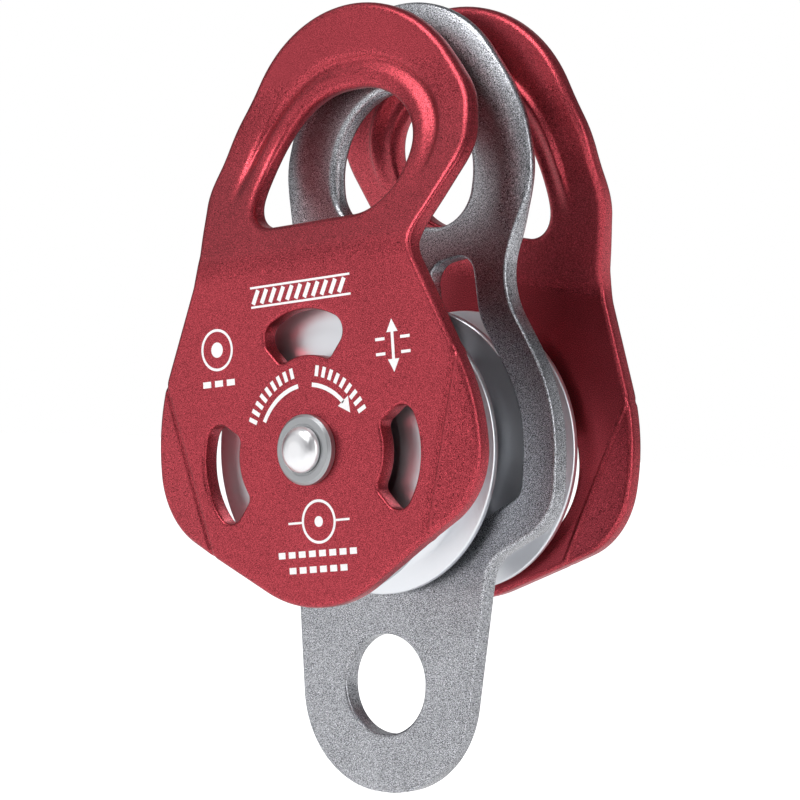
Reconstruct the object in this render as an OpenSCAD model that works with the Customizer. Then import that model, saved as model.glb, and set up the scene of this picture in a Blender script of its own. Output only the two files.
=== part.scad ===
// Double rope pulley with two swinging side plates, two sheaves side by side on one riveted axle,
// a carabiner eye at the top of every plate and a becket hole at the foot of the centre plate.
// Frame: +X right, +Y back along the axle, +Z up.
// The origin is where a carabiner bears on the roof of the centre plate's eye, midway through
// the plate. Everything is drawn about the axle and then hung below the origin.

/* [Sheaves] */
// Outside radius of each sheave
sheave_r = 30; // [26:0.5:33]
// Width of each sheave over its rims
sheave_w = 17.7; // [15:0.1:21]
// Largest rope diameter that the groove takes
rope_d = 13; // [8:0.5:15]
// Depth of the rope groove below the rims
groove_depth = 8; // [4:0.5:10]
// Radius of the turned recess in each flank of a sheave
recess_r = 18.5; // [14:0.5:20]
// Depth of that recess
recess_depth = 3.4; // [0:0.2:4]
// Radius of the sheave's hub, inside the recess
sheave_hub_r = 11; // [9:0.5:13]

/* [Axle] */
// Shank radius of the rivet
rivet_r = 3.5; // [3:0.1:4]
// Radius of the rivet's peened heads
rivet_head_r = 4.8; // [4.2:0.1:6]
// Height of the rivet's peened heads
rivet_head_h = 2.4; // [1.5:0.1:3]
// Outside radius of the hardened sleeves that everything turns on
sleeve_r = 5; // [4.6:0.1:5.8]
// Wall of each self-lubricating bush
bush_wall = 1.5; // [1:0.1:2]
// Radius of the washers under the rivet's heads
head_washer_r = 7.2; // [6.6:0.1:9]
// Thickness of the washers under the rivet's heads
head_washer_t = 2; // [1:0.1:3]
// Radius of the thrust washers beside the sheaves
thrust_washer_r = 9; // [7.5:0.1:10.5]
// Space between the centre plate and a sheave
inner_gap = 2.85; // [1.5:0.05:4]
// Space between a sheave and its side plate
outer_gap = 2.3; // [1:0.05:3]

/* [Plates] */
// Thickness of the centre plate
centre_t = 4.3; // [3:0.1:6]
// Thickness of the side plates
side_t = 4; // [3:0.1:5]
// Half width of all plates across the sheaves
plate_half_w = 42.5; // [40:0.5:46]
// Height of the top of the eyes above the axle
eye_top = 93.5; // [90:0.5:100]
// Depth of the side plates' rounded foot below the axle
side_keel_drop = 32; // [30:0.1:36]
// Gap between the centre plate and a side plate's eye
eye_gap = 3.1; // [1:0.1:4]
// Turn of the front side plate, seen from the front
front_fan = 6.9; // [-30:0.1:30]
// Turn of the rear side plate, seen from the front
rear_fan = -6.9; // [-30:0.1:30]

/* [Becket] */
// Radius of the becket hole
becket_hole_r = 10.5; // [8:0.25:13]
// Distance of the becket hole below the axle
becket_drop = 49; // [47:0.5:56]
// Width of metal around the becket hole
becket_rim = 12.2; // [9:0.1:14]

/* [Fits] */
// Radial clearance of what turns on the sleeves
running_fit = 0.05; // [0.02:0.01:0.1]
// Clearance along the axle at each face that slides
end_float = 0.1; // [0.05:0.01:0.2]

/* [Hidden] */

// Colours
anodised_red = [0.70, 0.20, 0.25];
blasted_grey = [0.62, 0.63, 0.65];
bright_alloy = [0.88, 0.89, 0.90];
polished_steel = [0.78, 0.78, 0.80];
bush_bronze = [0.60, 0.45, 0.28];
washer_black = [0.13, 0.13, 0.14];

// Stations along the axle, measured from the middle of the centre plate
centre_face = centre_t / 2;
sheave_in = centre_face + inner_gap;
sheave_out = sheave_in + sheave_w;
side_in = sheave_out + outer_gap;
side_out = side_in + side_t;
sleeve_end = side_out + end_float;
washer_end = sleeve_end + head_washer_t;
sheave_mid = (sheave_in + sheave_out) / 2;

// Radii of the running fits
bush_bore_r = sleeve_r + running_fit;
bush_r = bush_bore_r + bush_wall;
plate_bore_r = sleeve_r + running_fit;

// Drop of the axle below the origin
hang_drop = eye_top - 18.5;

// Turning resolution: one chord for every few degrees of an arc
arc_step = 5;
round_fn = 96;
// Length that a cut runs past each face
over = 1;

// ---- Outlines -------------------------------------------------------------------------------

function unit(v) = v / norm(v);

function polar(r, a) = [r * cos(a), r * sin(a)];

// Corner [x, z, radius] with its place given by a radius and an angle about the axle
function polar_corner(r, a, fillet) = [r * cos(a), r * sin(a), fillet];

// Half of the angle between the two straight runs that meet at b
function half_angle(a, b, c) =
  let (at = [b[0], b[1]])
  acos(unit([a[0], a[1]] - at) * unit([c[0], c[1]] - at)) / 2;

// Length that the rounding of corner b takes from each straight run
function reach(a, b, c) = b[2] / tan(half_angle(a, b, c));

// Points of the arc that rounds corner b, between the straight runs from a and to c
function corner_arc(a, b, c, share = 1) =
  let (
    at = [b[0], b[1]],
    r = b[2] * share,
    back = unit([a[0], a[1]] - at),
    ahead = unit([c[0], c[1]] - at),
    half = half_angle(a, b, c),
    centre = at + unit(back + ahead) * r / sin(half),
    start = at + back * r / tan(half) - centre,
    finish = at + ahead * r / tan(half) - centre,
    from = atan2(start[1], start[0]),
    swing = atan2(finish[1], finish[0]) - from,
    turn = swing > 180 ? swing - 360 : swing < -180 ? swing + 360 : swing,
    steps = max(2, ceil(abs(turn) / arc_step))
  )
  [for (i = [0:steps]) centre + polar(r, from + turn * i / steps)];

// Closed outline from corners [x, z, radius]; two roundings never take more than their run
function rounded(corners) =
  let (
    n = len(corners),
    at = function (i) corners[(i + n) % n],
    taken = [for (i = [0:n - 1]) reach(at(i - 1), at(i), at(i + 1))],
    run = [for (i = [0:n - 1]) norm([at(i + 1)[0] - at(i)[0], at(i + 1)[1] - at(i)[1]])],
    room = [for (i = [0:n - 1]) min(1, 0.98 * run[i] / (taken[i] + taken[(i + 1) % n]))]
  )
  [for (i = [0:n - 1]) each
    corner_arc(at(i - 1), at(i), at(i + 1), min(room[i], room[(i + n - 1) % n]))];

// Mirror-symmetric outline: a corner at the foot, the right half listed upwards, one at the crown
function symmetric(foot, right, crown) =
  let (n = len(right))
  concat(foot, right, crown, [for (i = [n - 1:-1:0]) [-right[i][0], right[i][1], right[i][2]]]);

// Height where the two straight runs beside a rounded foot or crown would meet
function tip(r, slope) = r * (1 / cos(slope) - 1);

// Heights above the axle that every plate shares
neck_z = 39.5;
shoulder_z = 58;
eye_floor_z = 47;
eye_roof_z = hang_drop;

// Lower edges of the plates run up from the middle at this slope
keel_slope = 30;
side_keel_r = 28;
side_keel_tip = -side_keel_drop - tip(side_keel_r, keel_slope);
function keel_z(x, keel_tip) = keel_tip + x * tan(keel_slope);

// Crowns of the eyes: an arc, and the slope of the straight runs beside it
side_crown_r = 31;
side_crown_slope = 55;
centre_crown_r = 27.5;
centre_crown_slope = 52;
function crown_z(x, r, slope) = eye_top + tip(r, slope) - x * tan(slope);

// Side plate: keel, lower corner, flank, neck, shoulder and crown of the eye
side_flank_x = 32;
side_outline = symmetric(
  [[0, side_keel_tip, side_keel_r]],
  [
    [plate_half_w, keel_z(plate_half_w, side_keel_tip), 18],
    [plate_half_w, 8.5, 46],
    [27.9, neck_z, 10],
    [34.9, shoulder_z, 14],
    [side_flank_x, crown_z(side_flank_x, side_crown_r, side_crown_slope), 20]
  ],
  [[0, crown_z(0, side_crown_r, side_crown_slope), side_crown_r]]
);

side_eye = symmetric([], [[18.6, eye_floor_z, 9], [21.8, eye_roof_z + 0.5, 19.2]], []);

// One kidney slot, centred on the +X axis
slot_in = 18.9;
slot_out = 27.5;
slot_in_half = 20;
slot_out_half = 27;
slot_outline = [
  polar_corner(slot_in, -slot_in_half, 1.8),
  polar_corner(slot_out, -slot_out_half, 3.6),
  polar_corner(slot_out / cos(slot_out_half), 0, 19),
  polar_corner(slot_out, slot_out_half, 3.6),
  polar_corner(slot_in, slot_in_half, 1.8),
  polar_corner(slot_in / cos(slot_in_half), 0, 13)
];
slot_angles = [-8, 90, 188];

// Centre plate: becket, its junction with the keel, lower corner, flank, neck, shoulder, crown
becket_foot = becket_drop + becket_hole_r + becket_rim;
becket_top_x = 25.6;
becket_foot_x = becket_hole_r + 9.7;
centre_keel_tip = -36.8;
centre_half_w = plate_half_w - 0.4;
centre_flank_x = 29.8;
centre_outline = symmetric(
  [],
  [
    [becket_foot_x, -becket_foot, becket_foot_x + 1.3],
    [becket_top_x, keel_z(becket_top_x, centre_keel_tip), 8],
    [centre_half_w, keel_z(centre_half_w, centre_keel_tip), 12],
    [centre_half_w, 12, 42],
    [26.3, 35.2, 16],
    [33.4, shoulder_z - 0.5, 20],
    [centre_flank_x, crown_z(centre_flank_x, centre_crown_r, centre_crown_slope), 34]
  ],
  [[0, crown_z(0, centre_crown_r, centre_crown_slope), centre_crown_r]]
);

centre_eye = symmetric([], [[16.8, eye_floor_z - 0.5, 8.5], [19.6, eye_roof_z, 17.4]], []);

// Window between the rim, the hub and the central spoke; the rim keeps one width all round
rim_w = 8.5;
rim_x = centre_half_w - rim_w;
rim_keel_tip = centre_keel_tip + rim_w / cos(keel_slope);
window_outline = [
  [15.5, keel_z(15.5, rim_keel_tip), 3.5],
  [rim_x, keel_z(rim_x, rim_keel_tip), 4],
  [rim_x, 10, 30],
  [21.4, 28, 14],
  [18.9, neck_z + 1.5, 3.5],
  [7.6, neck_z - 1, 4.5],
  [11, 19, 4],
  [24.5, 7.5, 18]
];

// Places what is drawn about the axle below the origin
module hung() {
  translate([0, 0, -hang_drop])
    children();
}

// ---- Plates ---------------------------------------------------------------------------------

// A flat outline of x and z, stood upright and given a thickness along Y
module upright(y_from, y_to) {
  translate([0, y_to, 0])
    rotate([90, 0, 0])
      linear_extrude(height = y_to - y_from)
        children();
}

module bore(r, y_from, y_to) {
  translate([0, y_to, 0])
    rotate([90, 0, 0])
      cylinder(r = r, h = y_to - y_from, $fn = round_fn);
}

// Section of the joggled side plate in y and z: a flat foot, a sloping run and a flat eye
joggle_z = 39;
joggle_slope = 34;
joggle_foot_r = 8;
joggle_eye_r = 40;
eye_mid = centre_face + eye_gap + side_t / 2;
side_mid = side_in + side_t / 2;
joggle_top_z = joggle_z + (side_mid - eye_mid) / tan(joggle_slope);
section_low = -60;
section_high = eye_top + 20;

// Bend corners [y, z, radius] of the face that lies d outside the plate's middle surface
function joggle_face(d) = [
  [-(side_mid + d), joggle_z + d * tan(joggle_slope / 2), joggle_foot_r + d],
  [-(eye_mid + d), joggle_top_z + d * tan(joggle_slope / 2), joggle_eye_r - d]
];

function joggle_arcs(d) =
  let (
    face = joggle_face(d),
    low = [face[0][0], section_low, 0],
    high = [face[1][0], section_high, 0]
  )
  concat(corner_arc(low, face[0], face[1]), corner_arc(face[0], face[1], high));

module joggle_section() {
  outer = joggle_arcs(side_t / 2);
  inner = joggle_arcs(-side_t / 2);
  polygon(concat(
    [[-side_out, section_low]],
    outer,
    [[-(eye_mid + side_t / 2), section_high], [-(eye_mid - side_t / 2), section_high]],
    [for (i = [len(inner) - 1:-1:0]) inner[i]],
    [[-side_in, section_low]]
  ));
}

// Side plate for the front, before it is turned on the axle
module side_plate() {
  difference() {
    intersection() {
      rotate([90, 0, 90])
        translate([0, 0, -plate_half_w - over])
          linear_extrude(height = 2 * (plate_half_w + over))
            joggle_section();
      upright(-side_out - over, over)
        polygon(rounded(side_outline));
    }
    upright(-side_out - over, 0)
      polygon(rounded(side_eye));
    for (a = slot_angles)
      upright(-side_out - over, -side_in + over)
        rotate(a)
          polygon(rounded(slot_outline));
    bore(plate_bore_r, -side_out - over, -side_in + over);
  }
}

module front_side_plate() {
  color(anodised_red)
    hung()
      rotate([0, -front_fan, 0])
        side_plate();
}

module rear_side_plate() {
  color(anodised_red)
    hung()
      rotate([0, -rear_fan, 0])
        mirror([0, 1, 0])
          side_plate();
}

module centre_plate() {
  color(blasted_grey)
    hung()
      difference() {
        upright(-centre_face, centre_face)
          polygon(rounded(centre_outline));
        upright(-centre_face - over, centre_face + over)
          polygon(rounded(centre_eye));
        for (side = [0, 1])
          mirror([side, 0, 0])
            upright(-centre_face - over, centre_face + over)
              polygon(rounded(window_outline));
        translate([0, 0, -becket_drop])
          bore(becket_hole_r, -centre_face - over, centre_face + over);
        bore(rivet_r, -centre_face - over, centre_face + over);
      }
}

// ---- Sheaves and axle -----------------------------------------------------------------------

// Turned about the axle: the outline is given as radius and station along Y
module turned() {
  rotate([-90, 0, 0])
    rotate_extrude($fn = round_fn)
      children();
}

module ring(r_in, r_out, y_from, y_to) {
  turned()
    translate([r_in, y_from])
      square([r_out - r_in, y_to - y_from]);
}

// Rope groove: an arc that fits the rope, opening to the rims at each side
groove_half_w = sheave_w / 2 - 1.5;
tread_r = sheave_r - groove_depth;
groove_arc_r = rope_d / 2 + 0.3;
groove_side = 50;

function groove_points() = concat(
  [[sheave_r, -groove_half_w]],
  [for (a = [-groove_side:groove_side / 5:groove_side])
    [tread_r + groove_arc_r * (1 - cos(a)), groove_arc_r * sin(a)]],
  [[sheave_r, groove_half_w]]
);

module sheave_section() {
  half = sheave_w / 2;
  web = half - recess_depth;
  rim_round = 0.6;
  polygon(concat(
    [[bush_r, -half], [sheave_hub_r, -half], [sheave_hub_r + 0.8, -web], [recess_r - 0.8, -web]],
    [[recess_r, -half], [sheave_r - rim_round, -half], [sheave_r, -half + rim_round]],
    groove_points(),
    [[sheave_r, half - rim_round], [sheave_r - rim_round, half], [recess_r, half]],
    [[recess_r - 0.8, web], [sheave_hub_r + 0.8, web], [sheave_hub_r, half], [bush_r, half]]
  ));
}

module sheave(y_mid) {
  color(bright_alloy)
    hung()
      turned()
        translate([0, y_mid])
          sheave_section();
}

module sheave_bush(y_mid) {
  color(bush_bronze)
    hung()
      ring(bush_bore_r, bush_r, y_mid - sheave_w / 2, y_mid + sheave_w / 2);
}

module front_sheave() sheave(-sheave_mid);
module rear_sheave() sheave(sheave_mid);
module front_sheave_bush() sheave_bush(-sheave_mid);
module rear_sheave_bush() sheave_bush(sheave_mid);

// Peened head: a cap of a sphere that is rivet_head_r wide and rivet_head_h high
dome_r = (rivet_head_r * rivet_head_r + rivet_head_h * rivet_head_h) / (2 * rivet_head_h);
module rivet_head() {
  intersection() {
    translate([0, washer_end + rivet_head_h - dome_r, 0])
      sphere(r = dome_r, $fn = round_fn);
    ring(0, rivet_head_r + over, washer_end, washer_end + dome_r);
  }
}

module axle_rivet() {
  color(polished_steel)
    hung() {
      ring(0, rivet_r, -washer_end, washer_end);
      rivet_head();
      mirror([0, 1, 0]) rivet_head();
    }
}

module sleeve() {
  ring(rivet_r, sleeve_r, centre_face, sleeve_end);
}

module front_sleeve() {
  color(polished_steel) hung() mirror([0, 1, 0]) sleeve();
}

module rear_sleeve() {
  color(polished_steel) hung() sleeve();
}

// Washer under a rivet head, with a turned bevel on its outer edge
washer_bevel = 0.6;
module head_washer() {
  turned()
    polygon([
      [rivet_r, sleeve_end],
      [head_washer_r, sleeve_end],
      [head_washer_r, washer_end - washer_bevel],
      [head_washer_r - washer_bevel, washer_end],
      [rivet_r, washer_end]
    ]);
}

module front_head_washer() {
  color(polished_steel) hung() mirror([0, 1, 0]) head_washer();
}

module rear_head_washer() {
  color(polished_steel) hung() head_washer();
}

module thrust_washer(y_from, y_to) {
  color(washer_black)
    hung()
      ring(sleeve_r, thrust_washer_r, y_from + end_float, y_to - end_float);
}

module front_inner_thrust_washer() thrust_washer(-sheave_in, -centre_face);
module front_outer_thrust_washer() thrust_washer(-side_in, -sheave_out);
module rear_inner_thrust_washer() thrust_washer(centre_face, sheave_in);
module rear_outer_thrust_washer() thrust_washer(sheave_out, side_in);

// ---- Assembly -------------------------------------------------------------------------------

centre_plate();
front_side_plate();
rear_side_plate();
front_sheave();
rear_sheave();
front_sheave_bush();
rear_sheave_bush();
axle_rivet();
front_sleeve();
rear_sleeve();
front_head_washer();
rear_head_washer();
front_inner_thrust_washer();
front_outer_thrust_washer();
rear_inner_thrust_washer();
rear_outer_thrust_washer();
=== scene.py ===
"""The finished look of a double rope pulley with swinging side plates, built round its frame.

Outlines and sections are in millimetres about the axle; each piece is then hung on the frame's
axle and scaled to metres. Plates are modelled lying flat, with their thickness along Z, and are
stood upright at the end, so that what lies on top becomes the side away from the pulley's middle.
"""

import math

import bmesh
import bpy
from bpy.props import FloatProperty, FloatVectorProperty, IntProperty, PointerProperty
from bpy.types import Operator, Panel, PropertyGroup
from mathutils import Matrix, Vector
from mathutils.kdtree import KDTree


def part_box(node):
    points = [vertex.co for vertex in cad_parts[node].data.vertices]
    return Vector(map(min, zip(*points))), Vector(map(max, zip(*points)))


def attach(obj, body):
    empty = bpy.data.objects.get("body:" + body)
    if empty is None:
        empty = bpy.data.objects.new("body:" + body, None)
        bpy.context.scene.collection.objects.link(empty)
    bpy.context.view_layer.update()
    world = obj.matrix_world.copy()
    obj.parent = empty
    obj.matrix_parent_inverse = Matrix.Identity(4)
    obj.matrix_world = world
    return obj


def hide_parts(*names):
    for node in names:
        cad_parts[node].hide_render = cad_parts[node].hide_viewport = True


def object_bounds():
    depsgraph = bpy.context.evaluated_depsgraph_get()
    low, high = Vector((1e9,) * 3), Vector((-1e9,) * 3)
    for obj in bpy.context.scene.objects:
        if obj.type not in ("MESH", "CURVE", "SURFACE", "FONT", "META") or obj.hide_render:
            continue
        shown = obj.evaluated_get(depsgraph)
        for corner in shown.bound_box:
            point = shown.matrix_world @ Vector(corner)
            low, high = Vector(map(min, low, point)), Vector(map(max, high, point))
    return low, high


bl_info = {
    "name": "Double rope pulley",
    "version": (1, 0, 0),
    "blender": (4, 5, 0),
    "location": "3D View > Sidebar > Pulley",
    "description": "Builds the finished look of a double rope pulley round its packed frame",
    "category": "Object",
}

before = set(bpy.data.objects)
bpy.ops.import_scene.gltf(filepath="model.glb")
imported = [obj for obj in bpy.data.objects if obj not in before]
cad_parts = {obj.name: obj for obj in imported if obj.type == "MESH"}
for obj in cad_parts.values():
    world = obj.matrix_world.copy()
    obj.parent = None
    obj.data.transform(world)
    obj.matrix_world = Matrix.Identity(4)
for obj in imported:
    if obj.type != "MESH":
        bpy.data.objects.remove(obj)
CAD_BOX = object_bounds()

MM = 0.001


# ---- Sizes taken from the frame --------------------------------------------------------------


def span(node):
    """Lowest and highest corner of a CAD node about the axle, in millimetres."""
    low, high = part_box(node)
    return (low - AXLE) / MM, (high - AXLE) / MM


def radius(node):
    """Outside radius of a turned CAD node, in millimetres."""
    low, high = span(node)
    return (high.x - low.x) / 2


head_low, head_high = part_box("rear_head_washer")
AXLE = Vector((0, 0, (head_low.z + head_high.z) / 2))
HANG = Matrix.Translation(AXLE) @ Matrix.Diagonal((MM, MM, MM, 1))

CENTRE_HALF = span("centre_plate")[1].y
SIDE_OUT = span("rear_side_plate")[1].y
SIDE_T = 4.0
SIDE_HALF = SIDE_T / 2
SIDE_BORE_R = 5.05
SHANK_R = 3.5
# A hair less than the frame's half width, so that the fanned plates stay inside its box
PLATE_HALF_W = 42.49
EYE_TOP = 93.5
FAN = math.radians(6.9)

# ---- Outlines: corners (x, y, rounding radius), about the axle, y up ---------------------------

KEEL_SLOPE = math.tan(math.radians(30))
SIDE_KEEL_TIP = -36.33
CENTRE_KEEL_TIP = -36.8
SHOULDER = 58.0


def crown(x, apex, slope):
    """Height of the straight run beside the crown of an eye."""
    return apex - x * math.tan(math.radians(slope))


def mirrored(corners):
    """The same corners on the other side, listed the other way round."""
    return [(-x, y, r) for x, y, r in reversed(corners)]


def symmetric(foot, right, top):
    """A whole outline from its right half, which is listed upwards."""
    return foot + right + top + mirrored(right)


def round_hole(r, height):
    """Outline of a round hole: a square with its corners fully rounded."""
    return [(x, y + height, r) for x, y in ((r, -r), (r, r), (-r, r), (-r, -r))]


SIDE_APEX = 116.52
CENTRE_APEX = 110.64


SIDE_OUTLINE = symmetric(
    [(0, SIDE_KEEL_TIP, 28)],
    [
        (PLATE_HALF_W, SIDE_KEEL_TIP + PLATE_HALF_W * KEEL_SLOPE, 18),
        (PLATE_HALF_W, 8.5, 46),
        (27.9, 39.5, 10),
        (34.9, SHOULDER, 14),
        (32, crown(32, SIDE_APEX, 55), 20),
    ],
    [(0, SIDE_APEX, 31)],
)
SIDE_EYE = symmetric([], [(18.6, 47, 9), (21.8, 75.5, 19.2)], [])

CENTRE_HALF_W = PLATE_HALF_W - 0.4
BECKET_DROP = 49.0
BECKET_HOLE_R = 10.5
CENTRE_OUTLINE = symmetric(
    [],
    [
        (20.2, -71.7, 21.5),
        (25.6, CENTRE_KEEL_TIP + 25.6 * KEEL_SLOPE, 8),
        (CENTRE_HALF_W, CENTRE_KEEL_TIP + CENTRE_HALF_W * KEEL_SLOPE, 12),
        (CENTRE_HALF_W, 12, 42),
        (26.3, 35.2, 16),
        (33.4, SHOULDER - 0.5, 20),
        (29.8, crown(29.8, CENTRE_APEX, 52), 34),
    ],
    [(0, CENTRE_APEX, 27.5)],
)
CENTRE_EYE = symmetric([], [(16.8, 46.5, 8.5), (19.6, 75, 17.4)], [])
# Width of the rim that a window leaves along the flank and the keel
RIM_W = 8.5
RIM_X = CENTRE_HALF_W - RIM_W
RIM_KEEL_TIP = CENTRE_KEEL_TIP + RIM_W / math.cos(math.radians(30))
WINDOW = [
    (15.5, RIM_KEEL_TIP + 15.5 * KEEL_SLOPE, 3.5),
    (RIM_X, RIM_KEEL_TIP + RIM_X * KEEL_SLOPE, 4),
    (RIM_X, 10, 30),
    (21.4, 28, 14),
    (18.9, 41, 3.5),
    (7.6, 38.5, 4.5),
    (11, 19, 4),
    (24.5, 7.5, 18),
]


def at_angle(r, degrees, rounding):
    """A corner given by its radius and angle about the axle."""
    a = math.radians(degrees)
    return (r * math.cos(a), r * math.sin(a), rounding)


SLOT_INNER = 18.9
SLOT_OUTER = 27.5
# Edges nearer to the axle than this are those of the slots and of the bore
SLOT_ZONE = SLOT_OUTER + 1.5


def kidney_slot(degrees):
    """Outline of a kidney slot whose middle lies in that direction."""
    inner_half, outer_half = 20, 27
    return [
        at_angle(SLOT_INNER, degrees - inner_half, 1.8),
        at_angle(SLOT_OUTER, degrees - outer_half, 3.6),
        at_angle(SLOT_OUTER / math.cos(math.radians(outer_half)), degrees, 19),
        at_angle(SLOT_OUTER, degrees + outer_half, 3.6),
        at_angle(SLOT_INNER, degrees + inner_half, 1.8),
        at_angle(SLOT_INNER / math.cos(math.radians(inner_half)), degrees, 13),
    ]


SLOT_DIRECTIONS = (-8, 90, 188)

# ---- Settings ----------------------------------------------------------------------------------


def colour(name, description, default):
    """A colour setting."""
    return FloatVectorProperty(
        name=name, description=description, default=default, size=3, subtype="COLOR", min=0, max=1
    )


def length(name, description, default):
    """A length setting, in metres."""
    return FloatProperty(name=name, description=description, default=default, min=0, unit="LENGTH")


def angle(name, description, degrees):
    """An angle setting, given in degrees."""
    return FloatProperty(
        name=name, description=description, default=math.radians(degrees), subtype="ANGLE"
    )


class PlateSettings(PropertyGroup):
    """Edges and pressed shapes of the plates."""

    side_edge: length("Side plate edge", "Rounding of a side plate's edges", 0.0011)
    slot_edge: length("Slot edge", "Rounding of the edges of the kidney slots", 0.0006)
    side_eye_edge: length("Side eye edge", "Rounding of a side plate's edges at its eye", 0.0016)
    centre_edge: length("Centre plate edge", "Rounding of the centre plate's edges", 0.00065)
    centre_eye_edge: length("Centre eye edge", "Rounding of the centre plate's eye", 0.0020)
    camber: length("Camber", "Fall of the centre plate's face towards its eye's outline", 0.0013)
    groove_depth: length("Pressed groove", "Depth of the groove pressed round an eye", 0.0008)
    groove_place: length("Groove place", "Distance of that groove from the eye's edge", 0.0059)
    wing_bend: angle("Wing bend", "Bend of the side plates' lower wings towards the sheave", 6.5)
    cell: length("Mesh cell", "Spacing of the cuts across a side plate", 0.0011)


class TurnedSettings(PropertyGroup):
    """Sizes of the turned pieces that the frame does not give."""

    tread_depth: length("Groove depth", "Depth of the rope groove below the rims", 0.008)
    tread_round: length("Groove radius", "Radius of the bottom of the rope groove", 0.0068)
    recess_radius: length("Recess radius", "Outside radius of the recess in a flank", 0.0185)
    recess_depth: length("Recess depth", "Depth of the recess in a flank", 0.0034)
    hub_radius: length("Hub radius", "Radius of a sheave's hub", 0.011)
    head_radius: length("Rivet head radius", "Radius of the rivet's peened heads", 0.0048)
    head_height: length("Rivet head height", "Height of the rivet's peened heads", 0.0024)
    steps: IntProperty(
        name="Turning steps", description="Steps in a full turn", default=192, min=24
    )


class FinishSettings(PropertyGroup):
    """Colours of the finishes."""

    red: colour("Red", "Anodised side plates", (0.41, 0.052, 0.068))
    grey: colour("Grey", "Blasted centre plate", (0.365, 0.372, 0.395))
    alloy: colour("Alloy", "Turned sheaves", (0.78, 0.80, 0.83))
    steel: colour("Steel", "Rivet", (0.88, 0.88, 0.89))
    washer: colour("Washer steel", "Sleeves and head washers", (0.42, 0.43, 0.44))
    bronze: colour("Bronze", "Bushes", (0.42, 0.26, 0.12))
    black: colour("Black", "Thrust washers", (0.018, 0.018, 0.020))
    white: colour("White", "Printed marks", (0.95, 0.93, 0.93))


class StageSettings(PropertyGroup):
    """Camera, floor and lights."""

    camera_azimuth: angle("Camera azimuth", "Turn of the camera round the pulley", 38.86)
    camera_elevation: angle("Camera elevation", "Rise of the camera above the axle", 1.36)
    camera_roll: angle("Camera roll", "Turn of the camera about its own axis", -1.87)
    camera_distance: length("Camera distance", "From the camera to the axle's middle", 0.6499)
    lens: FloatProperty(
        name="Lens", description="Focal length on a 36 mm sensor", default=139.67, unit="CAMERA"
    )
    shift_x: FloatProperty(name="Shift X", description="Sideways shift of the lens", default=0.0014)
    shift_y: FloatProperty(name="Shift Y", description="Upward shift of the lens", default=0.0627)
    floor_gap: length("Floor gap", "From the becket's foot down to the floor", 0.05)
    front_power: FloatProperty(
        name="Front light", description="Soft light at the left front", default=0.8, unit="POWER"
    )
    side_power: FloatProperty(
        name="Side light", description="Soft light at the right", default=2.6, unit="POWER"
    )
    top_power: FloatProperty(
        name="Top light", description="Soft light above the front", default=4.4, unit="POWER"
    )
    sky_power: FloatProperty(
        name="Sky light", description="Soft light high at the left", default=0.45, unit="POWER"
    )
    back_power: FloatProperty(
        name="Back light", description="Soft lights behind", default=0.45, unit="POWER"
    )


class PulleyLooks(PropertyGroup):
    """All settings of the pulley's look."""

    plates: PointerProperty(type=PlateSettings)
    turned: PointerProperty(type=TurnedSettings)
    finishes: PointerProperty(type=FinishSettings)
    stage: PointerProperty(type=StageSettings)


# ---- Modelling ---------------------------------------------------------------------------------

ARC_STEP = math.radians(3)
# Share of a straight run that the two arcs at its ends may take up together
RUN_SHARE = 0.98
# Points of an outline that lie closer together than this become one
WELD = 0.002


def half_angle(before, corner, after):
    """Half of the angle between the two straight runs that meet at a corner."""
    at = Vector(corner[:2])
    return (Vector(before[:2]) - at).angle(Vector(after[:2]) - at) / 2


def round_corner(bm, before, corner, after, rounding):
    """Spins the arc that rounds one corner of an outline; returns its first and last vertex."""
    at = Vector(corner[:2])
    if not rounding:
        only = bm.verts.new((at.x, at.y, 0))
        return only, only
    back = (Vector(before[:2]) - at).normalized()
    ahead = (Vector(after[:2]) - at).normalized()
    half = half_angle(before, corner, after)
    centre = at + (back + ahead).normalized() * rounding / math.sin(half)
    start = at + back * rounding / math.tan(half)
    turn = math.pi - 2 * half
    first = bm.verts.new((start.x, start.y, 0))
    spun = bmesh.ops.spin(
        bm,
        geom=[first],
        cent=(centre.x, centre.y, 0),
        axis=(0, 0, -math.copysign(1, back.cross(ahead))),
        angle=turn,
        steps=max(3, math.ceil(turn / ARC_STEP)),
    )
    return first, spun["geom_last"][0]


def draw_outline(bm, corners):
    """Draws a closed wire through rounded corners; returns its vertices, anticlockwise."""
    count = len(corners)
    around = [(corners[i - 1], corners[i], corners[(i + 1) % count]) for i in range(count)]
    taken = [trio[1][2] / math.tan(half_angle(*trio)) for trio in around]
    room = []
    for i in range(count):
        following = (i + 1) % count
        run = (Vector(corners[following][:2]) - Vector(corners[i][:2])).length
        room.append(min(1, RUN_SHARE * run / max(taken[i] + taken[following], 1e-6)))
    arcs = [
        round_corner(bm, *trio, trio[1][2] * min(room[i], room[i - 1]))
        for i, trio in enumerate(around)
    ]
    for i in range(count):
        bm.edges.new((arcs[i - 1][1], arcs[i][0]))
    fresh = [v for v in bm.verts if v.is_wire and not v.tag]
    bmesh.ops.remove_doubles(bm, verts=fresh, dist=WELD)
    start = next(v for v in bm.verts if v.is_wire and not v.tag)
    loop = [start, start.link_edges[0].other_vert(start)]
    while True:
        onward = [e.other_vert(loop[-1]) for e in loop[-1].link_edges]
        following = onward[0] if onward[0] is not loop[-2] else onward[1]
        if following is start:
            break
        loop.append(following)
    for vert in loop:
        vert.tag = True
    area = sum(loop[i - 1].co.cross(loop[i].co).z for i in range(len(loop)))
    return loop if area > 0 else loop[::-1]


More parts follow.
